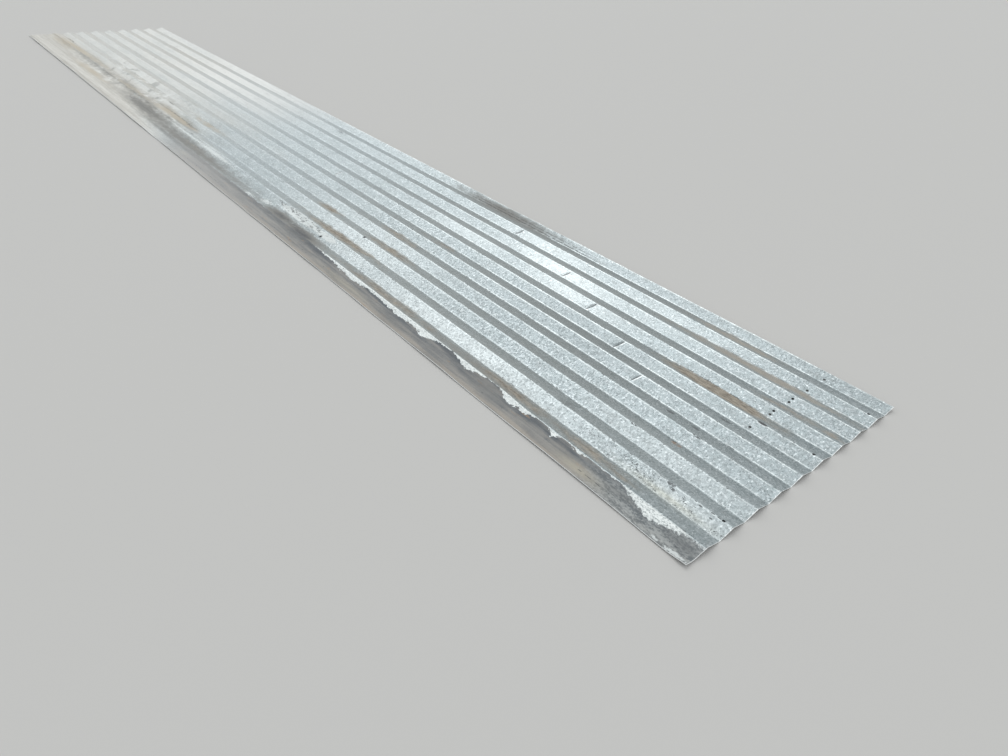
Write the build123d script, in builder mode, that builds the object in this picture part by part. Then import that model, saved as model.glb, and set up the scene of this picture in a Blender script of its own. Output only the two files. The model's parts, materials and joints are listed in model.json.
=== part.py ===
import os
from math import asin, atan2, ceil, cos, degrees, hypot, sin

from build123d import *

# A corrugated roofing sheet of galvanised steel, lying on a level floor.
# The waves run along X, the sheet's width is along Y and +Z is up. The origin
# is under the middle of the sheet, level with the underside of its valleys.
# The near end is at +X and the left edge is at -Y. All sizes are in millimetres.

# Sheet
length = 4267.2
width = 660.4
thickness = 0.40

# Rolled wave, measured along the middle of the metal's thickness
pitch = 67.733
depth = 9.0
bend_radius = 7.0
first_crest_inset = 50.8

# Nail holes, punched square to the metal, in rows measured from the near end
nail_hole_diameter = 5.0
end_row_inset = 19.0
second_row_inset = 137.0
middle_row_inset = 1230.0
edge_row_inset = 1305.0
pair_spacing = 12.0
end_row_crests = [2, 6, 9]
middle_row_crests = [3]
paired_flanks = [7, 8]
single_flanks = [6, 9, 10]
edge_row_flanks = [2]

# Each half wave is a straight flank, tangent to the bends at its two ends. The
# flank's slope is the one angle that gives both the pitch and the depth.
half_pitch = pitch / 2
spare_height = 2 * bend_radius - depth
reach = hypot(half_pitch, spare_height)
flank_angle = asin(2 * bend_radius / reach) - atan2(spare_height, half_pitch)
flank_length = (half_pitch - 2 * bend_radius * sin(flank_angle)) / cos(flank_angle)
slope = degrees(flank_angle)

middle_height = (depth + thickness) / 2
crest_height = middle_height + depth / 2
left_edge = -width / 2
right_edge = width / 2
near_end = length / 2


def crest_y(number):
    """The place across the sheet of a crest, counted from the left edge."""
    return left_edge + first_crest_inset + (number - 1) * pitch


def flank_y(number):
    """The middle of the flank that climbs to a crest from its left."""
    return crest_y(number) - pitch / 4


def on_sheet(y):
    """Whether a nail hole at this place is whole, clear of both side edges."""
    return left_edge + nail_hole_diameter < y < right_edge - nail_hole_diameter


crest_holes = [
    Location((near_end - inset, crest_y(number), crest_height))
    for inset, crests in (
        (end_row_inset, end_row_crests),
        (middle_row_inset, middle_row_crests),
    )
    for number in crests
    if on_sheet(crest_y(number))
]


def flank_hole(inset, number, along):
    """A place on a flank, so far up its slope from its middle, square to it."""
    y = flank_y(number) + along * cos(flank_angle)
    z = middle_height + along * sin(flank_angle)
    return Location((near_end - inset, y, z), (slope, 0, 0))


lower = -pair_spacing / 2
upper = pair_spacing / 2
flank_places = [(second_row_inset, number, lower) for number in paired_flanks]
flank_places += [(second_row_inset, number, upper) for number in paired_flanks]
flank_places += [(second_row_inset, number, lower) for number in single_flanks]
flank_places += [(edge_row_inset, number, lower) for number in edge_row_flanks]
flank_holes = [
    flank_hole(inset, number, along)
    for inset, number, along in flank_places
    if on_sheet(flank_y(number) + along)
]

# One wave more than the width needs at each side, trimmed by the two edges.
wave_count = ceil(width / pitch) + 2
first_flank_y = crest_y(0) - pitch / 4

with BuildPart() as corrugated_sheet:
    with BuildSketch(Plane.YZ) as section:
        with BuildLine() as middle_of_metal:
            place = Vector(first_flank_y, middle_height)
            for wave in range(wave_count):
                up = PolarLine(place, flank_length / 2, slope)
                crest = JernArc(up @ 1, up % 1, bend_radius, -2 * slope)
                down = PolarLine(crest @ 1, flank_length, -slope)
                valley = JernArc(down @ 1, down % 1, bend_radius, 2 * slope)
                last = PolarLine(valley @ 1, flank_length / 2, slope)
                place = last @ 1
        trace(line_width=thickness)
        with Locations((0, middle_height)):
            Rectangle(width, 4 * depth, mode=Mode.INTERSECT)
    extrude(amount=near_end, both=True)
    with Locations(*crest_holes):
        Hole(nail_hole_diameter / 2)
    with Locations(*flank_holes):
        Hole(nail_hole_diameter / 2)

corrugated_sheet.part.label = "corrugated_sheet"

os.makedirs("parts", exist_ok=True)
export_step(corrugated_sheet.part, "parts/corrugated_sheet.step")
print("flank slope", round(slope, 2), "degrees, straight for", round(flank_length, 2))
print("volume", round(corrugated_sheet.part.volume), "cubic millimetres")
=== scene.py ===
import json
import math
from functools import partial

import bpy
import numpy as np
from mathutils import Matrix, Vector


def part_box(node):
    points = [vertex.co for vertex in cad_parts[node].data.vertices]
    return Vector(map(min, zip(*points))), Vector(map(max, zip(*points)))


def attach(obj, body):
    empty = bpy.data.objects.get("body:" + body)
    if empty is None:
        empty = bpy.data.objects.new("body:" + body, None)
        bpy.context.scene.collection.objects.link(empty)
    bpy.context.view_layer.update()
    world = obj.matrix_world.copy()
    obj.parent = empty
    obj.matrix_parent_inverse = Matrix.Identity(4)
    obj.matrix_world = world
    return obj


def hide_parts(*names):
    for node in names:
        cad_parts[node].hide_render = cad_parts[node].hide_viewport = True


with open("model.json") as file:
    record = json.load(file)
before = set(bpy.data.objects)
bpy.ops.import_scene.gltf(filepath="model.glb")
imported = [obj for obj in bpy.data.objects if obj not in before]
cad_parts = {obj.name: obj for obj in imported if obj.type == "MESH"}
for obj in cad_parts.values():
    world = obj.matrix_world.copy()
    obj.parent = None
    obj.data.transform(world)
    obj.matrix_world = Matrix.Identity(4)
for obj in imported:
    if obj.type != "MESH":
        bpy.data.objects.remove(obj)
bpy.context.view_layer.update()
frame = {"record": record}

# A corrugated roofing sheet of galvanised steel on a pale floor. Lengths are in
# metres. The waves run along X, the width is along Y, and the near end is at +X.

# The rolled sheet
NODE = "corrugated_sheet"
SHEET_LOW, SHEET_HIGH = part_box(NODE)
NEAR_END, FAR_END = SHEET_HIGH.x, SHEET_LOW.x
LEFT_EDGE, RIGHT_EDGE = SHEET_LOW.y, SHEET_HIGH.y
THICKNESS = 0.0004
PITCH = 0.067733
DEPTH = 0.009
BEND_RADIUS = 0.007
CREST_FROM_EDGE = 0.0508
FIRST_CREST = LEFT_EDGE + CREST_FROM_EDGE
MIDDLE_HEIGHT = (DEPTH + THICKNESS) / 2

# Mesh steps along the near part, the middle and the far part, then across the left side,
# a flank, a bend and the cut edges, and the room for the mesh round a hole
NEAR_STEP, MIDDLE_STEP, FAR_STEP = 0.0108, 0.0145, 0.030
NEAR_PART, FAR_PART = 0.30, -1.20
SIDE_STEP = 0.0045
FLANK_STEP = 0.0105
BEND_STEP = 0.002
EDGE_STEP = 0.0015
CLOSEST_ROWS = 0.0009
NORMAL_STEP = 0.0002
ON_EDGE = 1e-6
HOLE_MARGIN, HOLE_CLEARANCE = 0.003, 0.001
HOLE_ROWS = (-HOLE_MARGIN, 0, HOLE_MARGIN)
HOLE_SIDES = 16

# The unrolled sheet is laid out for baking as strips of its top beside its underside,
# which is drawn at half the size
MAP_STRIPS = 3
MAP_GAP = 0.006

# Damage. A wave count is 1 at the first crest, 1.5 at the valley after it, and so on, and
# distances along the metal start at COUNT_START.
COUNT_START = 0.75
EDGE_DROP = 0.0022
EDGE_WANDER, EDGE_RIPPLE = 0.0006, 0.0010
WAVE_WANDER = 0.0005
CRUMPLE_DEPTH = 0.0018
WRINKLE_HEIGHT = 0.0016
LIP_DROP, LIP_LENGTH = 0.0010, 0.30
CREASE_DEPTH = 0.0016
CURL_HEIGHT, CURL_LENGTH, CURL_WIDTH = 0.0035, 0.022, 0.012
HOLE_DIMPLE = 0.0004
LEAN = 1.64, 1.76  # where along X the first crest's left side leans over
CORNER = 1.93, 2.01  # where along X the broken near left corner begins
FOOT_END = 0.0004
KINK_LENGTH = 0.0032
KINK_SLANT = 0.25
KINK_ROWS = [part * KINK_LENGTH for part in (-2, -1.2, -0.6, 0, 0.6, 1.2, 2)]
KINKS = (  # place along X, wave count, depth
    (1.089, 8.75, 0.0022),
    (1.351, 7.75, 0.0016),
    (1.505, 6.78, 0.0030),
    (1.657, 5.75, 0.0022),
    (1.765, 4.80, 0.0012),
    (0.423, 5.75, 0.0010),
)
DENTS = (  # place along X, wave count, half length, half width in waves, depth
    (0.605, 1.80, 0.022, 0.14, 0.0030),
    (0.655, 1.88, 0.020, 0.15, 0.0034),
    (0.712, 1.80, 0.022, 0.13, 0.0028),
    (0.780, 1.86, 0.022, 0.12, 0.0020),
    (0.720, 1.20, 0.110, 0.22, 0.0022),
    (0.437, 0.86, 0.035, 0.14, 0.0020),
    (-0.480, 1.95, 0.120, 0.25, 0.0024),
    (-0.920, 1.90, 0.060, 0.22, 0.0030),
    (-1.350, 1.92, 0.090, 0.25, 0.0024),
    (1.740, 2.05, 0.020, 0.10, 0.0008),
)

# Dirt. Stains lie in the dark bands, between one crest and the valley after it.
STAINS = (  # place along X, wave count, half length, strength
    (1.890, 6.30, 0.100, 1.00),
    (2.030, 7.25, 0.090, 0.42),
    (2.100, 7.25, 0.020, 0.50),
    (1.900, 8.32, 0.200, 0.62),
    (1.800, 9.27, 0.110, 0.55),
    (1.640, 1.25, 0.110, 0.45),
    (1.200, 1.25, 0.180, 0.45),
    (1.870, 1.22, 0.090, 0.45),
    (0.860, 2.30, 0.160, 0.60),
    (0.670, 3.30, 0.045, 0.60),
    (1.000, 3.30, 0.100, 0.50),
    (0.950, 4.30, 0.090, 0.45),
    (1.040, 5.30, 0.060, 0.35),
    (-0.420, 2.40, 0.160, 0.75),
    (-0.250, 3.35, 0.120, 0.45),
    (-1.250, 1.30, 0.140, 0.45),
    (-1.750, 2.20, 0.150, 0.75),
    (-1.950, 2.75, 0.080, 0.70),
    (-0.050, 1.60, 0.120, 0.30),
)
SMUDGES = (  # place along X, wave count, half length
    (1.752, 2.12, 0.016),
    (0.050, 8.95, 0.022),
    (0.700, 1.30, 0.100),
)
MARKS = (  # small and dark: place along X, wave count, half length, half width in waves
    (2.010, 1.96, 0.010, 0.060),
    (2.019, 1.87, 0.007, 0.050),
    (1.866, 2.97, 0.012, 0.032),
    (1.960, 3.97, 0.011, 0.032),
    (1.938, 3.44, 0.007, 0.045),
    (1.878, 4.34, 0.011, 0.090),
    (1.939, 4.34, 0.010, 0.080),
    (1.957, 5.31, 0.014, 0.080),
    (2.072, 1.95, 0.005, 0.030),
    (2.067, 1.68, 0.004, 0.030),
    (2.098, 1.84, 0.004, 0.030),
)
# The same four values for one slit, the painted highlight on its rim, one rust spot and the crushed
# crest, whose creases get painted shade
SLIT = (2.008, 5.985, 0.013, 0.056)
SLIT_RIM_HIGHLIGHT = (2.009, 5.945, 0.011, 0.024)
RUST_SPOT = (1.946, 3.38, 0.014, 0.10)
CRUMPLED = (0.690, 1.84, 0.190, 0.20)
FILMS = (  # grey dirt: place along X, wave count, half length, half width in waves, strength
    (-0.100, 1.26, 0.580, 0.42, 0.90),
    (-0.560, 1.50, 0.300, 0.45, 1.00),
    (-0.700, 2.00, 0.350, 0.50, 0.55),
    (-1.350, 1.95, 0.420, 0.40, 0.50),
    (0.300, 1.25, 0.200, 0.22, 0.60),
    (0.650, 1.20, 0.080, 0.34, 1.25),
    (0.790, 1.14, 0.100, 0.34, 1.45),
    (1.650, 1.20, 0.120, 0.20, 0.35),
    (0.960, 9.64, 0.230, 0.34, 0.85),
    (-0.330, 2.25, 0.200, 0.22, 0.60),
    (-0.950, 2.20, 0.300, 0.30, 0.45),
    (1.560, 1.24, 0.330, 0.22, 0.60),
    (1.130, 1.24, 0.160, 0.22, 0.45),
    (1.310, 0.55, 0.060, 0.20, 0.70),
    (1.610, 0.72, 0.080, 0.14, 0.85),
    (1.975, 0.70, 0.040, 0.12, 0.70),
    (2.105, 0.66, 0.032, 0.14, 0.95),
)
TAN = (  # yellowed oxide: place along X, wave count, half length, half width, strength
    (-1.900, 1.90, 0.250, 0.50, 0.70),
    (-1.520, 2.30, 0.280, 0.35, 0.80),
    (-0.860, 2.15, 0.300, 0.20, 0.90),
    (-0.380, 2.55, 0.280, 0.20, 1.00),
    (-0.250, 3.50, 0.220, 0.14, 0.70),
    (-1.250, 1.20, 0.350, 0.30, 0.60),
    (0.010, 0.62, 0.045, 0.12, 0.90),
    (-1.100, 3.30, 0.300, 0.25, 0.50),
    (2.020, 1.60, 0.080, 0.10, 0.70),
    (1.890, 0.50, 0.045, 0.13, 0.85),
    (1.100, 0.50, 0.100, 0.13, 0.50),
)
PAINTED_SHEEN = (  # painted highlight on the brightest flanks: place along X, wave count, half length, half width, strength
    (1.420, 1.76, 0.380, 0.34, 1.00),
    (1.330, 7.75, 0.190, 0.42, 1.00),
    (1.430, 6.75, 0.160, 0.40, 0.75),
    (1.190, 8.75, 0.170, 0.40, 0.70),
    (1.020, 6.90, 0.160, 0.60, 0.55),
    (1.620, 8.40, 0.180, 0.90, 0.35),
    (0.900, 2.80, 0.300, 0.50, 0.70),
    (0.900, 3.75, 0.250, 0.40, 0.50),
    (0.030, 1.82, 0.130, 0.22, 0.90),
    (0.640, 1.80, 0.120, 0.20, 0.60),
    (1.000, 1.78, 0.140, 0.26, 0.80),
    (2.060, 1.76, 0.130, 0.28, 0.60),
    (1.960, 2.78, 0.180, 0.36, 0.45),
)
PAINTED_DIMMING = (  # flanks darkened by painted shade between bright borders, in the same order
    (1.570, 5.25, 0.230, 1.00, 1.00),
    (1.620, 9.80, 0.260, 0.20, 0.90),
    (0.480, 1.75, 0.070, 0.20, 0.50),
)
UPRIGHT_PARTS = (  # of the first crest's left side: place along X, half length, width
    (1.080, 0.160, 0.0120),
    (1.300, 0.170, 0.0125),
    (1.390, 0.060, 0.0165),
    (1.545, 0.050, 0.0125),
    (1.682, 0.045, 0.0165),
    (1.715, 0.045, 0.0130),
    (1.800, 0.020, 0.0150),
    (1.860, 0.028, 0.0090),
    (1.925, 0.070, 0.0030),
    (2.000, 0.045, 0.0110),
    (2.035, 0.070, 0.0220),
)
FLAKES = (  # pale broken crust: place along X, wave count, half length, half width, strength
    (0.460, 1.10, 0.060, 0.20, 0.80),
    (0.530, 1.40, 0.045, 0.30, 0.85),
    (0.690, 1.82, 0.120, 0.20, 1.60),
    (0.840, 1.80, 0.070, 0.18, 1.30),
    (0.060, 1.84, 0.220, 0.15, 1.00),
    (-0.150, 1.85, 0.300, 0.10, 0.90),
    (-0.800, 1.88, 0.300, 0.09, 0.70),
    (-0.200, 2.85, 0.260, 0.14, 0.60),
    (-1.400, 3.80, 0.300, 0.12, 0.40),
    (2.108, 0.33, 0.030, 0.10, 1.00),
    (2.066, 0.33, 0.014, 0.08, 0.90),
)

# Colours. A pair holds the two that a pattern varies between.
CRYSTAL = (0.310, 0.359, 0.368, 1), (0.420, 0.469, 0.480, 1)
CRYSTAL_BRIGHT = (0.60, 0.65, 0.665, 1)
ZINC_MOTTLE = (0.47, 0.524, 0.548, 1)
ZINC_GRAIN = (0.185, 0.22, 0.23, 1)
ZINC_PAINTED_DIMMING = (0.25, 0.285, 0.295, 1)
ZINC_BORDER_HIGHLIGHT = (0.70, 0.75, 0.75, 1)
ZINC_PAINTED_SHEEN = (0.70, 0.75, 0.755, 1)
ZINC_YELLOWED = (0.46, 0.44, 0.33, 1)
ZINC_DUST_AND_SHADE = (0.27, 0.28, 0.265, 1)
OXIDE_COOL = (0.48, 0.52, 0.53, 1), (0.64, 0.68, 0.685, 1)
OXIDE_WARM = (0.47, 0.455, 0.41, 1), (0.65, 0.64, 0.60, 1)
OXIDE_PAINTED_LIT = (0.84, 0.84, 0.815, 1)
OXIDE_PAINTED_SHADE = (0.40, 0.39, 0.36, 1)
OXIDE_STAIN = (0.44, 0.385, 0.29, 1)
WRINKLE_PAINTED_SHADE = (0.30, 0.295, 0.27, 1)
WRINKLE_PAINTED_HIGHLIGHT = (0.86, 0.87, 0.85, 1)
FILM = (0.19, 0.19, 0.18, 1), (0.29, 0.285, 0.265, 1)
FILM_DARKEST = (0.11, 0.115, 0.12, 1)
MUD = (0.19, 0.155, 0.115, 1), (0.42, 0.365, 0.29, 1)
MUD_RIGHT = (0.40, 0.375, 0.33, 1)
MUD_FAR = (0.50, 0.45, 0.36, 1)
STRIP = (0.21, 0.215, 0.215, 1), (0.33, 0.32, 0.30, 1)
STRIP_WORN = (0.40, 0.365, 0.32, 1)
STRIP_FOOT_SHADE = (0.125, 0.14, 0.155, 1)
STRIP_BROWN = (0.36, 0.265, 0.185, 1)
STRIP_STREAK = (0.42, 0.42, 0.41, 1)
STRIP_FILM = (0.15, 0.16, 0.165, 1)
STRIP_TAN = (0.48, 0.445, 0.36, 1)
STRIP_FAR = (0.46, 0.46, 0.45, 1)
CORNER_DIRT = (0.155, 0.175, 0.185, 1), (0.42, 0.44, 0.435, 1)
CORNER_FOOT_SHADE = (0.09, 0.10, 0.115, 1)
SIDE_LOW = (0.46, 0.51, 0.515, 1), (0.30, 0.335, 0.34, 1)
SIDE_PALE = (0.86, 0.90, 0.89, 1)
CRUST_COLOUR = (0.70, 0.74, 0.735, 1)
LIT_COLOUR = (0.80, 0.83, 0.83, 1)
MARK_AND_SHADE_COLOUR = (0.09, 0.095, 0.10, 1)
RUST_COLOUR = (0.26, 0.17, 0.11, 1)
CUT_EDGE_HIGHLIGHT = (0.74, 0.76, 0.76, 1)
CRYSTAL_TILT = 0.20
RELIEF_HEIGHT = 0.0005

# The floor
FLOOR_REACH = 40.0
FLOOR_COLOUR = (0.60, 0.592, 0.575, 1)
FLOOR_ROUGHNESS = 0.9

# The photograph's frame and its lens, in pixels
FRAME_WIDTH = 1008
FOCAL_LENGTH = 700.0
SENSOR_WIDTH = 36.0
CAMERA_PLACE = Vector((2.453, -1.011, 0.801 + MIDDLE_HEIGHT))
CAMERA_AZIMUTH, CAMERA_ELEVATION, CAMERA_ROLL = 47.7, 35.2, 4.6

# Light: soft lamps in an arc beyond the far end, the high ones further to the right
LAMP_ANGLE = math.radians(18)
LAMPS = (  # height and angle towards the right in degrees, strength
    (60, 50, 0.12),
    (48, 37, 0.15),
    (40, 27, 0.10),
    (32, 20, 0.08),
    (21, 12, 0.07),
)
SKY_STRENGTH = 0.81
SKY_COLOUR = (0.965, 0.99, 1.0, 1)


def section_of_wave():
    """The slope angle of a flank and its straight length, from pitch and depth."""
    spare = 2 * BEND_RADIUS - DEPTH
    reach = math.hypot(PITCH / 2, spare)
    angle = math.asin(2 * BEND_RADIUS / reach) - math.atan2(spare, PITCH / 2)
    straight = (PITCH / 2 - 2 * BEND_RADIUS * math.sin(angle)) / math.cos(angle)
    return angle, straight


SLOPE, STRAIGHT = section_of_wave()
BEND = 2 * BEND_RADIUS * SLOPE
DEVELOPED_PITCH = 2 * (STRAIGHT + BEND)


def quarter_wave(run):
    """Place and height along a quarter wave, from the middle of a flank to a crest."""
    flat = np.minimum(run, STRAIGHT / 2)
    turn = np.clip((run - STRAIGHT / 2) / BEND_RADIUS, 0, SLOPE)
    across = flat * np.cos(SLOPE) + BEND_RADIUS * (np.sin(SLOPE) - np.sin(SLOPE - turn))
    height = flat * np.sin(SLOPE) + BEND_RADIUS * (np.cos(SLOPE - turn) - np.cos(SLOPE))
    return across, height


def wave(developed):
    """Place across the sheet and height above its middle, for a distance measured along
    the metal from the middle of the flank that climbs to the first crest."""
    quarter = DEVELOPED_PITCH / 4
    number = np.floor(developed / quarter).astype(int)
    within = developed - number * quarter
    rising = number % 2 == 0
    across, height = quarter_wave(np.where(rising, within, quarter - within))
    sign = np.where(number % 4 < 2, 1.0, -1.0)
    start = FIRST_CREST - PITCH / 4 + number * PITCH / 4
    y = start + np.where(rising, across, PITCH / 4 - across)
    return y, sign * height


def wave_count(developed):
    return developed / DEVELOPED_PITCH + COUNT_START


def developed_at(y):
    """Distance along the metal of a place across the sheet."""
    trial = np.linspace(-DEVELOPED_PITCH, 10 * DEVELOPED_PITCH, 20001)
    return float(np.interp(y, wave(trial)[0], trial))


DEVELOPED_LEFT = developed_at(LEFT_EDGE)
DEVELOPED_RIGHT = developed_at(RIGHT_EDGE)
HOLES = [
    (mount["pos_m"][0], developed_at(mount["pos_m"][1]), mount["dims"]["r_mm"] / 1000)
    for mount in frame["record"]["mounts"]
    if mount["kind"] == "bore"
]
MAP_LENGTH = (NEAR_END - FAR_END) / MAP_STRIPS
MAP_WIDTH = DEVELOPED_RIGHT - DEVELOPED_LEFT
MAP_SIDE = MAP_STRIPS * (MAP_WIDTH + MAP_GAP) + MAP_GAP


def fade(value, start, stop):
    """0 before start, 1 after stop, and smooth between."""
    part = np.clip((value - start) / (stop - start), 0, 1)
    return part * part * (3 - 2 * part)


def hump(value, middle, half_width):
    return np.exp(-(((value - middle) / half_width) ** 2))


def ripple(x, s, length, width, seed):
    """A soft random pattern from -1 to 1, with forms of about this length and width."""
    random = np.random.default_rng(seed)
    total = 0
    for _ in range(14):
        turn_x, turn_s = random.normal(0, 1, 2)
        phase = random.uniform(0, 2 * math.pi)
        total = total + np.sin(turn_x * x / length * 2.5 + turn_s * s / width * 2.5 + phase)
    return np.tanh(total / 3.2)


def left_side(x, s, y, z, count):
    """The first half wave is trodden flat, so the metal is steep only beside the first crest.
    Further along the next wave is trodden too, and the second crest is crumpled."""
    part = np.clip((y - LEFT_EDGE) / (FIRST_CREST - LEFT_EDGE), 0, 1)
    steep = fade(part, 0.70 - 0.24 * fade(x, 1.75, 2.0), 1.0 - 0.09 * fade(x, *LEAN))
    low, high = -DEPTH / 2 + EDGE_DROP, DEPTH / 2
    ramp = low + (high - low) * (0.42 * part + 0.58 * steep)
    z = np.where(count < 1, z + (ramp - z) * 0.9, z)
    z = z * (1 - 0.75 * fade(x, -0.1, -0.8) * (1 - fade(count, 1.5, 2.3)))
    crumple = hump(count, 0.90, 0.09) * (0.3 + 0.7 * fade(x, -0.3, 0.5))
    crumple = crumple + 1.3 * hump(count, 1.86, 0.12) * hump(x, -0.45, 0.65)
    z = z - CRUMPLE_DEPTH * crumple * (0.5 + 0.5 * ripple(x, s, 0.030, 0.015, 4))
    wrinkles = hump(count, 2.6, 1.1) * hump(x, -0.70, 0.80) * ripple(x, s, 0.085, 0.06, 9)
    z = z + WRINKLE_HEIGHT * wrinkles
    edge = 1 - fade(count, 0.25, 0.50)
    y = y + edge * EDGE_WANDER * (1 + ripple(x, 0, 0.11, 1, 5))
    return y, z + edge * EDGE_RIPPLE * ripple(x, 0, 0.16, 1, 6)


def right_side(x, s, z, count):
    """The last half wave is pressed down at the near corner and creased further along."""
    lip = fade(count, 9.55, 10.0) * fade(x, NEAR_END - LIP_LENGTH, NEAR_END)
    z = z - LIP_DROP * lip
    creased = fade(count, 9.62, 9.9) * hump(x, 1.0, 0.42)
    return z - CREASE_DEPTH * creased * (0.5 + 0.5 * ripple(x, s, 0.06, 0.012, 7))


def near_corner(x, y):
    """The near left corner is curled up."""
    return CURL_HEIGHT * hump(x, NEAR_END, CURL_LENGTH) * hump(y, LEFT_EDGE, CURL_WIDTH)


def dents(x, s, count):
    """How deep the metal is dented: by kinks across the crests, by knocks and by the nails."""
    depth = 0
    for place, middle, size in KINKS:
        slanted = place + KINK_SLANT * (s - (middle - COUNT_START) * DEVELOPED_PITCH)
        depth = depth + size * hump(x, slanted, KINK_LENGTH) * hump(count, middle, 0.17)
    for place, middle, half_length, half_width, size in DENTS:
        dent = hump(x, place, half_length) * hump(count, middle, half_width)
        depth = depth + size * dent * (0.7 + 0.3 * ripple(x, s, 0.03, 0.02, 8))
    for place, middle, radius in HOLES:
        dimple = HOLE_DIMPLE * hump(x, place, 2 * radius) * hump(s, middle, 2 * radius)
        depth = depth + dimple
    return depth


def surface(x, s):
    """Points of the middle of the metal, at a place along X and a distance across it."""
    y, z = wave(s)
    count = wave_count(s)
    inside = fade(count, 0.3, 1.5) * (1 - fade(count, 9.0, 9.9))
    y = y + WAVE_WANDER * inside * ripple(x, s, 0.35, 0.2, 1)
    z = z * (1 - 0.025 * (1 + ripple(x, s, 0.25, 0.09, 2)))
    y, z = left_side(x, s, y, z, count)
    z = right_side(x, s, z, count)
    z = z + near_corner(x, y) - dents(x, s, count)
    return np.stack([x, y, z + MIDDLE_HEIGHT], -1)


def stain_at(x, count):
    """How much dried mud lies here, from 0 to 1."""
    amount = 0
    for place, middle, half_length, strength in STAINS:
        stain = strength * hump(x, place, 1.3 * half_length) * hump(count, middle, 0.30)
        amount = np.maximum(amount, stain)
    return amount


def smudge_at(x, count):
    """How dark this place is scuffed, from 0 to 1."""
    amount = 0
    for place, middle, half_length in SMUDGES:
        amount = np.maximum(amount, hump(x, place, half_length) * hump(count, middle, 0.12))
    return amount


def patches_at(patches, x, count):
    """The strongest of some oval patches at this place."""
    amount = 0
    for place, middle, half_length, half_width, strength in patches:
        patch = strength * hump(x, place, half_length) * hump(count, middle, half_width)
        amount = np.maximum(amount, patch)
    return amount


def oxide_and_reflection_at(x, count):
    """How much pale oxide, with a painted reflection of a bright horizon on the far half, lies here:
    most on the far half, and at the left edge there.
    """
    left = 0.35 * fade(x, 0.0, -0.9) * (1 - fade(count, 1.8, 3.2))
    right = 0.45 * hump(x, -0.62, 0.40) * fade(count, 6.0, 7.5)
    return 0.62 * fade(x, 0.5, -0.9) + left + right


PAINTED = {  # what the mesh carries for the material, each as an amount at every vertex
    "stain": stain_at,
    "smudge": smudge_at,
    "film": partial(patches_at, FILMS),
    "flake": partial(patches_at, FLAKES),
    # pale oxide, with a painted reflection on the far half
    "haze": oxide_and_reflection_at,
    "tan": partial(patches_at, TAN),
    # painted highlight on the brightest flanks
    "sheen": partial(patches_at, PAINTED_SHEEN),
    # painted shade on duller flanks
    "dim": partial(patches_at, PAINTED_DIMMING),
}


def stations(fixed, step_at):
    """The fixed places in order, with even steps between them."""
    fixed = sorted(fixed)
    kept = [fixed[0]]
    for place in fixed[1:]:
        if place - kept[-1] > CLOSEST_ROWS:
            kept.append(place)
    places = []
    for start, stop in zip(kept, kept[1:]):
        steps = max(1, math.ceil((stop - start) / step_at((start + stop) / 2) - 0.01))
        places += list(np.linspace(start, stop, steps, endpoint=False))
    return np.array(places + [kept[-1]])


def without(places, holes):
    """The places that leave room for the mesh round each hole."""
    room = HOLE_MARGIN + HOLE_CLEARANCE
    return [place for place in places if all(abs(place - hole) > room for hole in holes)]


def beside(places, offsets):
    """Each place moved by each offset."""
    return [place + offset for place in places for offset in offsets]


def rows():
    """Places along the sheet at which the mesh has a row of vertices."""
    holes = [x for x, _, _ in HOLES]
    kinks = beside([x for x, _, _ in KINKS], KINK_ROWS)
    fixed = without(kinks, holes) + beside(holes, HOLE_ROWS)
    fixed += [FAR_END, NEAR_END, FAR_END + EDGE_STEP, NEAR_END - EDGE_STEP]
    fixed += [FAR_END + part * (NEAR_END - FAR_END) / MAP_STRIPS for part in range(1, MAP_STRIPS)]

    def step_at(x):
        return NEAR_STEP if x > NEAR_PART else MIDDLE_STEP if x > FAR_PART else FAR_STEP

    return stations(fixed, step_at)


def columns():
    """Distances across the metal at which the mesh has a column of vertices."""
    quarter = DEVELOPED_PITCH / 4
    ends = (-STRAIGHT / 2, STRAIGHT / 2, quarter, STRAIGHT / 2 + BEND)
    ends += (DEVELOPED_PITCH - STRAIGHT / 2 - BEND, -quarter)
    bends = beside([k * DEVELOPED_PITCH for k in range(-1, 11)], ends)
    left, right = DEVELOPED_LEFT, DEVELOPED_RIGHT
    bends = [s for s in bends if left + 2 * EDGE_STEP < s < right - 2 * EDGE_STEP]
    holes = [s for _, s, _ in HOLES]
    fixed = without(bends, holes) + beside(holes, HOLE_ROWS)
    fixed += [left, left + EDGE_STEP, right - EDGE_STEP, right]

    def step_at(s):
        if wave_count(s) < 1.05:
            return SIDE_STEP
        from_flank = abs((s / (2 * quarter) + 0.5) % 1 - 0.5) * 2 * quarter
        return FLANK_STEP if from_flank < STRAIGHT / 2 else BEND_STEP

    return stations(fixed, step_at)


def map_place(x, s, middle, under):
    """Where a corner of a face lies on the bake map, given the face's middle along X."""
    if under:
        u = 2 * MAP_GAP + MAP_LENGTH + (s - DEVELOPED_LEFT) / 2
        return u / MAP_SIDE, (MAP_GAP + (x - FAR_END) / 2) / MAP_SIDE
    strip = min(int((middle - FAR_END) / MAP_LENGTH), MAP_STRIPS - 1)
    u = MAP_GAP + x - FAR_END - strip * MAP_LENGTH
    v = MAP_GAP + strip * (MAP_WIDTH + MAP_GAP) + s - DEVELOPED_LEFT
    return u / MAP_SIDE, v / MAP_SIDE


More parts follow.
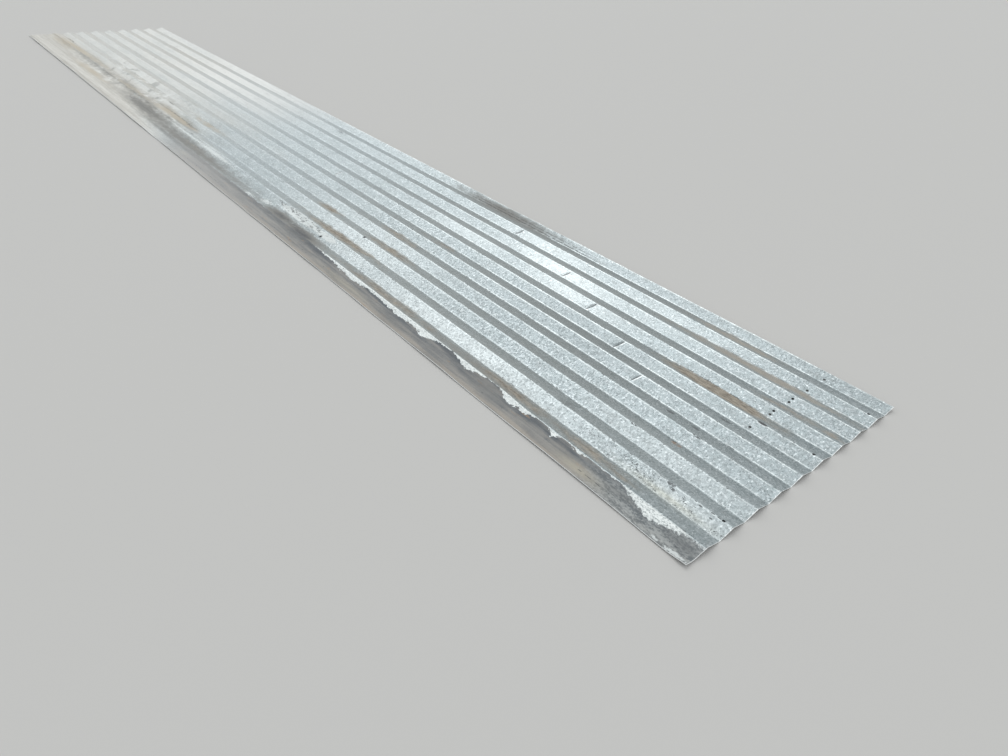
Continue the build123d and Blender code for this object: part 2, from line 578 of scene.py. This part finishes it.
class Sheet:
    """The sheet's vertices, as places along and across the metal, and its faces."""

    def __init__(self):
        self.x, self.s = np.meshgrid(rows(), columns(), indexing="ij")
        self.index = np.arange(self.x.size).reshape(self.x.shape)
        self.x, self.s = list(self.x.ravel()), list(self.s.ravel())
        self.top, self.walls = [], []
        self.outward = {}

    def hole(self, place, middle, radius, open_cells):
        """Opens the four cells round a hole's centre and fills up to its circle."""
        i = int(np.argmin(np.abs(np.array(self.x)[self.index[:, 0]] - place)))
        j = int(np.argmin(np.abs(np.array(self.s)[self.index[0, :]] - middle)))
        open_cells[i - 1:i + 1, j - 1:j + 1] = False
        steps = ((1, 0), (1, 1), (0, 1), (-1, 1), (-1, 0), (-1, -1), (0, -1), (1, -1))
        outer = [int(self.index[i + a, j + b]) for a, b in steps]
        ring = []
        for k in range(HOLE_SIDES):
            angle = 2 * math.pi * k / HOLE_SIDES
            ring.append(len(self.x))
            self.x.append(place + radius * math.cos(angle))
            self.s.append(middle + radius * math.sin(angle))
            self.outward[ring[-1]] = (-math.cos(angle) * THICKNESS, -math.sin(angle) * THICKNESS)
        for k in range(len(outer)):
            one, two, three = ring[2 * k], ring[2 * k + 1], ring[(2 * k + 2) % HOLE_SIDES]
            self.top.append((outer[k], outer[(k + 1) % len(outer)], three, two))
            self.top.append((outer[k], two, one))
        for k in range(HOLE_SIDES):
            self.walls.append((ring[k], ring[(k + 1) % HOLE_SIDES]))

    def fill(self):
        """The top's faces as rings of vertex numbers, and the edges where it turns under."""
        open_cells = np.ones([n - 1 for n in self.index.shape], bool)
        for place, middle, radius in HOLES:
            self.hole(place, middle, radius, open_cells)
        index = self.index
        corners = (index[:-1, :-1], index[1:, :-1], index[1:, 1:], index[:-1, 1:])
        self.top += np.stack([c[open_cells] for c in corners], 1).tolist()
        rim = np.concatenate([index[:, 0], index[-1, 1:], index[-2::-1, -1], index[0, -2:0:-1]])
        for vertex in rim:
            x, s = self.x[vertex], self.s[vertex]
            along = THICKNESS * ((x > NEAR_END - ON_EDGE) - int(x < FAR_END + ON_EDGE))
            across = THICKNESS * ((s > DEVELOPED_RIGHT - ON_EDGE) - int(s < DEVELOPED_LEFT + ON_EDGE))
            self.outward[int(vertex)] = (along, across)
        self.walls += [(int(b), int(a)) for a, b in zip(rim, np.roll(rim, -1))]

    def mesh(self):
        self.fill()
        x, s = np.array(self.x), np.array(self.s)
        along = surface(x + NORMAL_STEP, s) - surface(x - NORMAL_STEP, s)
        across = surface(x, s + NORMAL_STEP) - surface(x, s - NORMAL_STEP)
        normal = np.cross(along, across)
        normal /= np.linalg.norm(normal, axis=-1, keepdims=True)
        middle = surface(x, s)
        points = np.concatenate([middle + normal * THICKNESS / 2, middle - normal * THICKNESS / 2])
        points = np.clip(points, np.array(SHEET_LOW), np.array(SHEET_HIGH))
        count = len(x)
        faces = [tuple(face) for face in self.top]
        faces += [tuple(v + count for v in reversed(face)) for face in self.top]
        faces += [(a, b, b + count, a + count) for a, b in self.walls]
        used = np.unique(np.concatenate([np.array(face) for face in faces]))
        number = np.zeros(2 * count, int)
        number[used] = np.arange(len(used))
        mesh = bpy.data.meshes.new("sheet")
        mesh.from_pydata(points[used].tolist(), [], [[int(number[v]) for v in face] for face in faces])
        mesh.validate()
        self.lay_out(mesh, used, count)
        self.shade(mesh, np.concatenate([normal, -normal])[used])
        return mesh

    def shade(self, mesh, upright):
        """Gives the top and the underside the rolled surface's own normals, and keeps the
        walls of the edges and holes flat."""
        mesh.polygons.foreach_set("use_smooth", [True] * len(mesh.polygons))
        normals = []
        for polygon in mesh.polygons:
            if polygon.index < 2 * len(self.top):
                normals += [upright[v] for v in polygon.vertices]
            else:
                normals += [tuple(polygon.normal)] * len(polygon.vertices)
        mesh.normals_split_custom_set(normals)

    def lay_out(self, mesh, used, count):
        """Gives the mesh its place on the flat metal, for the material, and its bake map."""
        flat = mesh.attributes.new("flat_place", "FLOAT_VECTOR", "POINT")
        places = [(self.x[v % count], self.s[v % count], float(v >= count)) for v in used]
        flat.data.foreach_set("vector", np.array(places, np.float32).ravel())
        along, across, side = np.array(places).T
        for name, amount in PAINTED.items():
            layer = mesh.attributes.new(name, "FLOAT", "POINT")
            values = amount(along, wave_count(across)) * (side < 0.5)
            layer.data.foreach_set("value", values.astype(np.float32))
        bake_map = mesh.uv_layers.new(name="OFBake")
        tops = len(self.top)
        coordinates = np.zeros((len(mesh.loops), 2), np.float32)
        for polygon in mesh.polygons:
            corners = [used[v] for v in polygon.vertices]
            middle = sum(self.x[v % count] for v in corners) / len(corners)
            for loop, v in zip(polygon.loop_indices, corners):
                x, s = self.x[v % count], self.s[v % count]
                if polygon.index >= 2 * tops and v >= count:
                    shift = self.outward[int(v % count)]
                    x, s = x + shift[0], s + shift[1]
                under = tops <= polygon.index < 2 * tops
                coordinates[loop] = map_place(x, s, middle, under)
        bake_map.data.foreach_set("uv", coordinates.ravel())


class Finish:
    """Short ways to add nodes to one material."""

    def __init__(self, name):
        self.material = bpy.data.materials.new(name)
        self.material.use_nodes = True
        self.tree = self.material.node_tree
        self.shader = self.tree.nodes["Principled BSDF"]

    def put(self, socket, value):
        if isinstance(value, bpy.types.NodeSocket):
            self.tree.links.new(value, socket)
        else:
            socket.default_value = value

    def show(self, name, value):
        """Sets one of the material's own inputs."""
        self.put(self.shader.inputs[name], value)

    def node(self, kind, inputs, output=0, **settings):
        made = self.tree.nodes.new(kind)
        for name, value in settings.items():
            setattr(made, name, value)
        for name, value in inputs.items():
            self.put(made.inputs[name], value)
        return made.outputs[output]

    def parts(self, kind, value):
        """The parts of a vector or a colour."""
        made = self.tree.nodes.new(kind)
        self.put(made.inputs[0], value)
        return made.outputs

    def math(self, operation, *values):
        return self.node("ShaderNodeMath", dict(enumerate(values)), operation=operation)

    def vector(self, operation, *values):
        return self.node("ShaderNodeVectorMath", dict(enumerate(values)), operation=operation)

    def add(self, base, value, factor):
        """A base plus a value times a factor."""
        return self.math("MULTIPLY_ADD", value, factor, base)

    def times(self, *values):
        total = values[0]
        for value in values[1:]:
            total = self.math("MULTIPLY", total, value)
        return total

    def strongest(self, *values):
        total = values[0]
        for value in values[1:]:
            total = self.math("MAXIMUM", total, value)
        return total

    def rise(self, value, start, stop, low=0.0, high=1.0):
        """low before start, high after stop, and smooth between."""
        inputs = {"Value": value, "From Min": start, "From Max": stop, "To Min": low, "To Max": high}
        return self.node("ShaderNodeMapRange", inputs, interpolation_type="SMOOTHSTEP")

    def fall(self, value, start, stop):
        return self.rise(value, start, stop, 1.0, 0.0)

    def near(self, value, middle, inner, outer):
        """1 within the inner distance of a middle value, 0 outside the outer distance."""
        distance = self.math("ABSOLUTE", self.math("SUBTRACT", value, middle))
        return self.fall(distance, inner, outer)

    def mix(self, amount, low, high):
        """A colour between two colours."""
        inputs = {0: amount, 6: low, 7: high}
        return self.node("ShaderNodeMix", inputs, output=2, data_type="RGBA")

    def covered(self, colour, *layers):
        """A colour under some layers, each an amount and a colour."""
        for amount, over in layers:
            colour = self.mix(amount, colour, over)
        return colour

    def stretched(self, place, along, across, offset=0.0):
        """The flat metal's coordinates in forms of about this length and width."""
        return self.vector("MULTIPLY_ADD", place, (1 / along, 1 / across, 7.3), (offset,) * 3)

    def noise(self, place, detail=3.0, roughness=0.55, output=0):
        inputs = {"Vector": place, "Scale": 1.0, "Detail": detail, "Roughness": roughness}
        return self.node("ShaderNodeTexNoise", inputs, output=output)

    def cells(self, place):
        """Irregular cells, each with a colour of random numbers."""
        return self.node("ShaderNodeTexVoronoi", {"Vector": place, "Scale": 1.0}, output=1)


class Metal(Finish):
    """The sheet's surface, by place on the flat metal and by phase, 0 at a crest and 0.5 at
    the valley on its right."""

    def __init__(self, name):
        super().__init__(name)
        self.place = self.node("ShaderNodeAttribute", {}, output=1, attribute_name="flat_place")
        self.x, self.s, under = self.parts("ShaderNodeSeparateXYZ", self.place)
        self.count = self.add(COUNT_START, self.s, 1 / DEVELOPED_PITCH)
        self.phase = self.math("FRACT", self.count)
        self.top = self.fall(under, 0.2, 0.8)
        self.ragged = self.grain(0.009, 0.009, 3.0, 0.6)
        self.blotches = self.grain(0.40, 0.06, 5.0, 0.62, 1.7)
        self.streaks = self.grain(0.07, 0.0024, 3.0, 0.6, 9.0)

    def grain(self, along, across, detail=3.0, roughness=0.55, offset=0.0):
        """Noise with forms of about this length and width, in metres."""
        return self.noise(self.stretched(self.place, along, across, offset), detail, roughness)

    def painted(self, name):
        return self.node("ShaderNodeAttribute", {}, output=2, attribute_name=name)

    def spot(self, place, middle, half_length, half_width):
        """1 at a place on the sheet, 0 outside an oval round it."""
        along = self.add(-place / half_length, self.x, 1 / half_length)
        across = self.add(-middle / half_width, self.count, 1 / half_width)
        across = self.math("MULTIPLY", across, across)
        return self.fall(self.add(across, along, along), 0.25, 1.0)


def crystals(metal):
    """Spangle: zinc crystals, each with a colour of random numbers."""
    shift = metal.noise(metal.stretched(metal.place, 0.005, 0.005), 2.0, output=1)
    flat = metal.stretched(metal.place, 0.0034, 0.0040)
    return metal.cells(metal.vector("MULTIPLY_ADD", shift, (0.55, 0.55, 0.55), flat))


def crystal_tilt(metal, crystal):
    """The surface's direction, with a small tilt of each crystal's own."""
    tilt = metal.vector("SUBTRACT", crystal, (0.5, 0.5, 0.5))
    tilt = metal.vector("MULTIPLY", tilt, (CRYSTAL_TILT,) * 3)
    upright = metal.node("ShaderNodeNewGeometry", {}, output=1)
    return metal.vector("NORMALIZE", metal.vector("ADD", upright, tilt))


def border_highlights(metal):
    """Painted highlight: bright broken lines along the flanks' borders, strongest towards the near
    end.
    """
    broken = metal.rise(metal.grain(0.05, 1.0, 3.0, 0.6, 8.0), 0.36, 0.52, 0.0, 0.75)
    broken = metal.add(broken, metal.painted("dim"), 0.5)
    lines = metal.math("ADD", metal.near(metal.phase, 0.962, 0.008, 0.019),
                       metal.near(metal.phase, 0.540, 0.007, 0.018))
    lines = metal.times(lines, broken, metal.rise(metal.x, 0.2, 1.2, 0.4, 1.0))
    return metal.times(lines, metal.rise(metal.count, 3.0, 5.0, 0.6, 1.0))


def zinc(metal, shades):
    """The clean metal's colour, with brighter crystals, darker grain, painted highlights on the
    brightest flanks and along the flanks' borders, painted shade on duller flanks, and dust with
    painted shade on the flanks that face right."""
    bright = metal.rise(shades[2], 0.79, 0.86, 0.0, 0.85)
    mottled = metal.rise(metal.grain(0.011, 0.008, 4.0, 0.65, 5.8), 0.35, 0.65, 0.0, 0.4)
    dark = metal.rise(metal.grain(0.0020, 0.0030, 3.0, 0.6, 5.5), 0.54, 0.64, 0.0, 0.75)
    yellowed = metal.times(metal.painted("tan"), metal.rise(metal.x, 1.0, 1.5, 0.0, 0.6))
    # Dust, and painted shade, on the flanks that face right, the darker bands
    dust_and_shade = metal.times(metal.fall(metal.phase, 0.46, 0.52), metal.near(metal.x, 1.25, 0.3, 1.05))
    dust_and_shade = metal.times(dust_and_shade, metal.rise(metal.streaks, 0.30, 0.70, 0.35, 0.75))
    return metal.covered(
        metal.mix(shades[0], *CRYSTAL),
        (bright, CRYSTAL_BRIGHT),
        (mottled, ZINC_MOTTLE),
        (dark, ZINC_GRAIN),
        # painted shade on duller flanks
        (metal.times(metal.painted("dim"), 0.42), ZINC_PAINTED_DIMMING),
        # painted highlight along the flanks' borders
        (border_highlights(metal), ZINC_BORDER_HIGHLIGHT),
        # painted highlight on the brightest flanks
        (metal.times(metal.painted("sheen"), 0.6), ZINC_PAINTED_SHEEN),
        (yellowed, ZINC_YELLOWED),
        (dust_and_shade, ZINC_DUST_AND_SHADE),
    )


def painted_wrinkle_shading(metal, colour):
    """A colour with painted shade and painted highlight on the sides of the wrinkles in the far left
    part.
    """
    region = metal.times(metal.near(metal.count, 2.7, 0.9, 1.7),
                         metal.near(metal.x, -0.75, 0.55, 0.95))
    wrinkles = metal.grain(0.055, 0.050, 3.0, 0.6, 9.5)
    dark = metal.times(region, metal.rise(wrinkles, 0.56, 0.66, 0.0, 0.6))
    pale = metal.times(region, metal.rise(wrinkles, 0.46, 0.36, 0.0, 0.6))
    return metal.covered(colour, (dark, WRINKLE_PAINTED_SHADE), (pale, WRINKLE_PAINTED_HIGHLIGHT))


def oxide_and_painted_reflection(metal):
    """Pale oxide in blotches, with a painted reflection of a bright horizon on the far half: how much
    lies here, and its colour, which is warmer on the left and at the far end. Far off, the flanks
    that face left get a painted highlight and the others painted shade."""
    amount = metal.rise(metal.add(metal.painted("haze"), metal.blotches, 0.70), 0.38, 1.25)
    warm = metal.strongest(metal.fall(metal.count, 4.0, 7.0), metal.fall(metal.x, -1.3, -0.9))
    veins = metal.rise(metal.grain(0.22, 0.009, 5.0, 0.65, 9.0), 0.30, 0.70)
    colour = metal.mix(warm, metal.mix(veins, *OXIDE_COOL), metal.mix(veins, *OXIDE_WARM))
    far = metal.rise(metal.x, 0.2, -1.0)
    # Painted highlight on the far flanks that face left, painted shade on the others
    facing = metal.times(metal.rise(metal.phase, 0.50, 0.54), metal.fall(metal.phase, 0.97, 1.0))
    clear = metal.times(far, metal.rise(metal.count, 2.0, 3.2, 0.10, 0.80))
    away = metal.math("SUBTRACT", 1.0, facing)
    away = metal.times(away, far, metal.rise(metal.count, 1.9, 2.6, 0.35, 0.45))
    colour = metal.covered(colour, (metal.times(facing, clear), OXIDE_PAINTED_LIT), (away, OXIDE_PAINTED_SHADE))
    stained = metal.add(metal.painted("tan"), metal.grain(0.08, 0.014, 4.0, 0.6, 9.8), 0.9)
    stained = metal.times(metal.rise(stained, 0.55, 1.35), 0.8)
    return amount, metal.mix(stained, painted_wrinkle_shading(metal, colour), OXIDE_STAIN)


def grey_film(metal):
    """Grey dirt: how much lies here, and its colour, which is darkest where it is thickest."""
    amount = metal.add(metal.painted("film"), metal.grain(0.035, 0.016, 4.0, 0.65, 6.3), 0.9)
    amount = metal.add(metal.math("SUBTRACT", amount, 0.65), metal.ragged, 0.4)
    darkest = metal.rise(metal.grain(0.032, 0.014, 4.0, 0.65, 6.7), 0.36, 0.60, 0.45, 1.0)
    darkest = metal.times(darkest, metal.rise(metal.painted("film"), 0.90, 1.30))
    colour = metal.mix(darkest, metal.mix(metal.streaks, *FILM), FILM_DARKEST)
    return metal.rise(amount, -0.05, 0.95), colour


def dried_mud(metal):
    """Mud between a crest and the valley after it, with a ragged upper border: how much lies
    here, the dark broken line along that border, and the mud's colour."""
    edge = metal.add(0.46, metal.grain(0.006, 0.03, 3.0, 0.6, 4.0), 0.12)
    edge = metal.add(edge, metal.painted("stain"), 0.11)
    past_edge = metal.math("SUBTRACT", metal.phase, edge)
    band = metal.times(metal.fall(past_edge, -0.01, 0.01), metal.rise(metal.phase, 0.0, 0.04))
    amount = metal.add(metal.painted("stain"), metal.grain(0.045, 0.022, 5.0, 0.7, 5.0), 0.9)
    amount = metal.rise(amount, 0.56, 1.05)
    dashes = metal.rise(metal.grain(0.012, 0.05, 3.0, 0.6, 5.6), 0.42, 0.52)
    line = metal.times(metal.near(past_edge, 0.0, 0.012, 0.036), amount, dashes)
    colour = metal.covered(
        metal.mix(metal.rise(metal.grain(0.016, 0.007, 5.0, 0.65, 5.2), 0.35, 0.65), *MUD),
        (metal.rise(metal.count, 6.9, 7.6, 0.0, 0.7), MUD_RIGHT),
        (metal.rise(metal.x, 0.2, -0.4), MUD_FAR),
    )
    return metal.times(amount, band), line, colour


def slanted_strokes(metal):
    slanted = {0: metal.add(metal.x, metal.s, 0.5), 1: metal.s}
    slanted = metal.node("ShaderNodeCombineXYZ", slanted)
    return metal.noise(metal.stretched(slanted, 0.0065, 0.030, 3.1), 5.0, 0.75)


def upright_side(metal):
    """How far this place is above the ragged foot of the first crest's left side, in metres:
    below it the metal is trodden flat."""
    reach = 0.0
    for place, half_length, width in UPRIGHT_PARTS:
        away = metal.math("ABSOLUTE", metal.math("SUBTRACT", metal.x, place))
        reach = metal.strongest(reach, metal.add(width, away, -width / half_length))
    bits = metal.cells(metal.stretched(metal.place, 0.008, 0.005))
    reach = metal.add(reach, metal.parts("ShaderNodeSeparateColor", bits)[0], 0.0050)
    reach = metal.add(reach, metal.grain(0.0030, 0.0030, 3.0, 0.6, 3.3), 0.006)
    strokes = metal.times(slanted_strokes(metal), metal.rise(metal.x, *CORNER))
    reach = metal.add(reach, strokes, 0.024)
    reach = metal.math("SUBTRACT", reach, metal.rise(metal.x, *CORNER, 0.0060, 0.0163))
    return metal.math("ADD", reach, metal.add(-DEVELOPED_PITCH, metal.count, DEVELOPED_PITCH))


def foot(metal):
    """How far past the upright side's foot its border begins, in metres: further down at the
    near corner. It ends at FOOT_END."""
    return metal.rise(metal.x, *CORNER, -0.0004, -0.0060)


def before_top(metal):
    """1 left of the top of the first crest's left side, which leans over near the corner."""
    top = metal.rise(metal.x, *LEAN, 1.0, 0.935)
    top = metal.add(top, metal.grain(0.02, 0.02, 3.0, 0.6, 3.7), 0.03)
    return metal.fall(metal.math("SUBTRACT", metal.count, top), 0.005, 0.020)


def corner_dirt_and_shade(metal, past):
    """The near corner's colour: pale scales on dark dirt, darkest with painted shade beside the
    upright side.
    """
    scales = metal.grain(0.006, 0.0035, 4.0, 0.7, 2.9)
    scales = metal.add(scales, metal.grain(0.040, 0.012, 4.0, 0.6, 2.1), 0.9)
    foot_shade = metal.times(metal.rise(past, -0.012, -0.001), 0.6)
    return metal.mix(foot_shade, metal.mix(metal.rise(scales, 0.80, 1.10), *CORNER_DIRT), CORNER_FOOT_SHADE)


def strip_dirt_and_shade(metal, past):
    """The trodden strip along the left edge: how much dirt covers it, and its colour, with painted
    shade beside the upright side.
    """
    cover = metal.times(metal.fall(past, foot(metal), FOOT_END), metal.rise(metal.x, -0.45, 0.15))
    cover = metal.times(cover, before_top(metal), metal.top)
    from_left = metal.math("SUBTRACT", metal.s, DEVELOPED_LEFT)
    slow = metal.grain(0.14, 0.010, 4.0, 0.55, 6.0)
    worn = metal.times(metal.fall(from_left, 0.004, 0.018), metal.rise(slow, 0.30, 0.60, 0.2, 0.9))
    # painted shade along the foot of the upright side
    foot_shade = metal.times(metal.rise(past, -0.024, -0.002), metal.rise(slow, 0.62, 0.36, 0.3, 1.0))
    brown = metal.rise(metal.grain(0.05, 0.008, 3.0, 0.6, 6.6), 0.62, 0.74, 0.0, 0.7)
    return cover, metal.covered(
        metal.mix(metal.rise(slow, 0.35, 0.65), *STRIP),
        (worn, STRIP_WORN),
        (foot_shade, STRIP_FOOT_SHADE),
        (metal.times(brown, metal.fall(metal.x, 1.85, 1.95)), STRIP_BROWN),
        (metal.rise(metal.streaks, 0.55, 0.75, 0.0, 0.35), STRIP_STREAK),
        (metal.rise(metal.x, 1.84, 1.98, 0.0, 0.85), corner_dirt_and_shade(metal, past)),
        (metal.times(metal.painted("film"), 0.75), STRIP_FILM),
        (metal.times(metal.painted("tan"), 0.9), STRIP_TAN),
        (metal.rise(metal.x, 0.0, 1.0, 0.65, 0.0), STRIP_FAR),
    )


def standing_side(metal, past):
    """The bright side that still stands beside the trodden strip: its cover and colour."""
    cover = metal.times(metal.rise(past, foot(metal), FOOT_END), before_top(metal), metal.top)
    cover = metal.times(cover, metal.rise(metal.x, 0.87, 0.95))
    broken = metal.rise(metal.grain(0.0055, 0.0035, 5.0, 0.65, 16.0), 0.32, 0.56)
    low = metal.mix(metal.rise(metal.x, 1.93, 2.00), *SIDE_LOW)
    return cover, metal.mix(broken, low, SIDE_PALE)


def pale_crust(metal):
    """1 on the flakes of pale crust."""
    flakes = metal.add(metal.painted("flake"), metal.grain(0.007, 0.006, 4.0, 0.7, 21.0), 1.5)
    return metal.times(metal.rise(flakes, 1.30, 1.50), metal.top)


def nicks(metal):
    """Small dark marks along the borders of the flanks."""
    borders = metal.math("ADD", metal.near(metal.phase, 0.520, 0.006, 0.018),
                         metal.near(metal.phase, 0.985, 0.006, 0.018))
    chance = metal.grain(0.008, 0.020, 2.0, 0.6, 2.2)
    chance = metal.add(chance, metal.grain(0.11, 0.05, 2.0, 0.6, 2.7), 0.5)
    return metal.times(borders, metal.rise(chance, 0.88, 0.93))


def creases(metal):
    """Where the flanks are kinked: a dark line of painted shade across, and a painted highlight beside
    it.
    """
    dark, bright = 0.0, 0.0
    for place, middle, size in KINKS:
        start = place + KINK_SLANT * (COUNT_START - middle) * DEVELOPED_PITCH
        slanted = metal.math("SUBTRACT", metal.add(metal.x, metal.s, -KINK_SLANT), start)
        half_width = 0.10 + 30 * size
        reach = metal.near(metal.count, middle - 0.02, half_width, half_width + 0.05)
        line = metal.times(metal.near(slanted, 0.0, 0.0006, 0.0020), reach)
        beside = metal.times(metal.near(slanted, 0.0038, 0.0008, 0.0024), reach)
        dark, bright = metal.strongest(dark, line), metal.strongest(bright, beside)
    return dark, bright


def small_marks(metal):
    """Small dark marks with ragged borders."""
    marks = metal.strongest(*(metal.spot(*mark) for mark in MARKS))
    return metal.times(marks, metal.rise(metal.grain(0.0045, 0.0045, 3.0, 0.6, 18.0), 0.36, 0.50))


def crumpled_shade(metal):
    """Grey painted shade in the creases where the second crest is crushed."""
    lines = metal.rise(metal.grain(0.022, 0.0075, 3.0, 0.6, 19.0), 0.52, 0.58)
    return metal.times(metal.spot(*CRUMPLED), lines)


def hole_rims_grime_and_shade(metal):
    """The dark rims of the nail holes, narrower at the near end: partly grime, partly painted shade
    for the dark seen through the holes.
    """
    rims = []
    for place, middle, radius in HOLES:
        reach = (1.5 if place > 1.5 else 2.6) * radius
        rims.append(metal.spot(place, wave_count(middle), reach, reach / DEVELOPED_PITCH))
    return metal.strongest(*rims)


def cracks(metal):
    """Broken dark lines in the pressed strip along the right edge."""
    wander = metal.add(metal.count, metal.grain(0.03, 10.0, 3.0, 0.6, 14.0), 0.10)
    lines = metal.math("ADD", metal.near(wander, 9.64, 0.012, 0.030),
                       metal.near(wander, 9.78, 0.006, 0.022))
    lines = metal.times(lines, metal.near(metal.x, 1.05, 0.20, 0.32))
    return metal.times(lines, metal.rise(metal.grain(0.012, 0.01, 3.0, 0.6, 15.0), 0.40, 0.50))


def pepper(metal):
    """Dark specks, thickest on the second flank towards the near end."""
    on_flank = metal.times(metal.rise(metal.count, 1.50, 1.56), metal.fall(metal.count, 1.86, 2.02))
    corner = metal.times(metal.rise(metal.x, 1.62, 1.95), on_flank)
    clusters = metal.rise(metal.grain(0.05, 0.02, 3.0, 0.6, 13.0), 0.42, 0.62)
    chance = metal.grain(0.0036, 0.0030, 2.0, 0.6, 12.0)
    chance = metal.add(chance, metal.times(corner, clusters), 0.22)
    return metal.rise(chance, 0.72, 0.77)


def scuffs(metal):
    return metal.times(metal.painted("smudge"), metal.rise(metal.ragged, 0.36, 0.56))


def dark_marks_and_shade(metal, crease_shade, mud_line):
    """The strongest of the dark marks and painted shade lines at this place, all on the top but the
    slit.
    """
    marks = (
        (nicks(metal), 0.8),
        (scuffs(metal), 0.7),
        (pepper(metal), 0.75),
        (cracks(metal), 0.8),
        (crease_shade, 0.75),
        (hole_rims_grime_and_shade(metal), 0.8),
        (small_marks(metal), 0.8),
        (crumpled_shade(metal), 0.65),
        (mud_line, 0.75),
    )
    marks = metal.strongest(*(metal.times(mark, strength) for mark, strength in marks))
    return metal.strongest(metal.times(marks, metal.top), metal.spot(*SLIT))


def cut_edge_highlight(metal):
    """1 on the rim of sheared metal along both sides and the near end, where a painted highlight lies.
    """
    from_right = metal.math("SUBTRACT", DEVELOPED_RIGHT, metal.s)
    from_left = metal.math("SUBTRACT", metal.s, DEVELOPED_LEFT)
    from_near = metal.math("SUBTRACT", NEAR_END, metal.x)
    across = metal.math("MINIMUM", from_left, from_right)
    return metal.fall(metal.math("MINIMUM", across, from_near), 0.0007, 0.0014)


def galvanised_steel():
    metal = Metal("galvanised_steel")
    crystal = crystals(metal)
    shades = metal.parts("ShaderNodeSeparateColor", crystal)

    # What lies on the zinc, and the painted light and shade, from the lowest layer up
    haze, oxide_and_reflection_colour = oxide_and_painted_reflection(metal)
    film, film_colour = grey_film(metal)
    mud, mud_line, mud_colour = dried_mud(metal)
    past = upright_side(metal)
    strip, strip_colour = strip_dirt_and_shade(metal, past)
    side, side_colour = standing_side(metal, past)
    crust = pale_crust(metal)
    # Painted shade along each kink, a painted highlight beside it and on the slit's rim
    crease_shade, lit = creases(metal)
    lit = metal.strongest(lit, metal.spot(*SLIT_RIM_HIGHLIGHT))
    marks = dark_marks_and_shade(metal, crease_shade, mud_line)
    rust = metal.times(metal.spot(*RUST_SPOT), metal.rise(metal.ragged, 0.35, 0.50))
    metal.show("Base Color", metal.covered(
        zinc(metal, shades),
        # pale oxide, painted reflection and painted light and shade on the far flanks
        (haze, oxide_and_reflection_colour),
        (film, film_colour),
        (metal.times(mud, 0.9), mud_colour),
        # trodden strip's dirt, with painted shade beside the upright side
        (strip, strip_colour),
        (side, side_colour),
        (metal.times(crust, 0.9), CRUST_COLOUR),
        # painted highlight beside the kinks and on the slit's rim
        (metal.times(lit, metal.top, 0.7), LIT_COLOUR),
        # dark marks, with painted shade in the creases and round the nail holes
        (marks, MARK_AND_SHADE_COLOUR),
        (metal.times(rust, 0.7), RUST_COLOUR),
        # painted highlight along the cut edges
        (cut_edge_highlight(metal), CUT_EDGE_HIGHLIGHT),
    ))

    # Every layer dulls the metal by its own part
    dulling = ((strip, 0.9), (mud, 0.9), (haze, 0.55), (crust, 0.5), (side, 0.6), (marks, 0.7))
    dull = metal.strongest(film, rust, *(metal.times(layer, part) for layer, part in dulling))
    metal.show("Metallic", metal.rise(dull, 0.0, 1.0, 1.0, 0.12))
    gloss = metal.add(0.335, shades[1], 0.09)
    metal.show("Roughness", metal.add(gloss, dull, 0.30))

    # The fine relief of dirt, crust and rolling
    relief = metal.math("ADD", metal.times(metal.ragged, 0.6), metal.times(metal.blotches, 0.8))
    relief = metal.math("ADD", relief, metal.strongest(crust, side))
    bump = {"Height": relief, "Normal": crystal_tilt(metal, crystal)}
    bump.update({"Strength": 0.6, "Distance": RELIEF_HEIGHT})
    metal.show("Normal", metal.node("ShaderNodeBump", bump))
    return metal.material


def build_sheet():
    piece = bpy.data.objects.new("weathered_sheet", Sheet().mesh())
    bpy.context.collection.objects.link(piece)
    piece.data.materials.append(galvanised_steel())
    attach(piece, "root")
    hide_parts(NODE)


def build_floor():
    mesh = bpy.data.meshes.new("floor")
    reach = FLOOR_REACH
    corners = [(-reach, -reach, 0), (reach, -reach, 0), (reach, reach, 0), (-reach, reach, 0)]
    mesh.from_pydata(corners, [], [(0, 1, 2, 3)])
    floor = bpy.data.objects.new("floor", mesh)
    bpy.context.collection.objects.link(floor)
    finish = Finish("pale_floor")
    finish.show("Base Color", FLOOR_COLOUR)
    finish.show("Roughness", FLOOR_ROUGHNESS)
    mesh.materials.append(finish.material)


def build_light():
    for height, sideways, strength in LAMPS:
        lamp = bpy.data.lights.new(f"lamp_{height}", "SUN")
        lamp.energy = strength
        lamp.angle = LAMP_ANGLE
        rise, turn = math.radians(height), math.radians(sideways)
        towards = Vector((
            -math.cos(rise) * math.cos(turn),
            math.cos(rise) * math.sin(turn),
            math.sin(rise),
        ))
        holder = bpy.data.objects.new(f"lamp_{height}", lamp)
        holder.rotation_euler = towards.to_track_quat("Z", "Y").to_euler()
        bpy.context.collection.objects.link(holder)
    world = bpy.data.worlds.new("studio")
    world.use_nodes = True
    background = world.node_tree.nodes["Background"]
    background.inputs["Color"].default_value = SKY_COLOUR
    background.inputs["Strength"].default_value = SKY_STRENGTH
    bpy.context.scene.world = world


def build_camera():
    azimuth, elevation, roll = map(math.radians, (CAMERA_AZIMUTH, CAMERA_ELEVATION, CAMERA_ROLL))
    forward = Vector((
        -math.sin(azimuth) * math.cos(elevation),
        math.cos(azimuth) * math.cos(elevation),
        -math.sin(elevation),
    ))
    level = Vector((math.cos(azimuth), math.sin(azimuth), 0))
    upright = level.cross(forward)
    right = level * math.cos(roll) + upright * math.sin(roll)
    up = upright * math.cos(roll) - level * math.sin(roll)
    camera = bpy.data.cameras.new("camera")
    camera.sensor_width = SENSOR_WIDTH
    camera.lens = FOCAL_LENGTH / FRAME_WIDTH * SENSOR_WIDTH
    camera.clip_end = 100
    holder = bpy.data.objects.new("camera", camera)
    turn = Matrix((right, up, -forward)).transposed().to_4x4()
    holder.matrix_world = Matrix.Translation(CAMERA_PLACE) @ turn
    bpy.context.collection.objects.link(holder)
    bpy.context.scene.camera = holder


build_camera()
build_light()
build_floor()
build_sheet()

bpy.context.scene.view_settings.view_transform = "Standard"
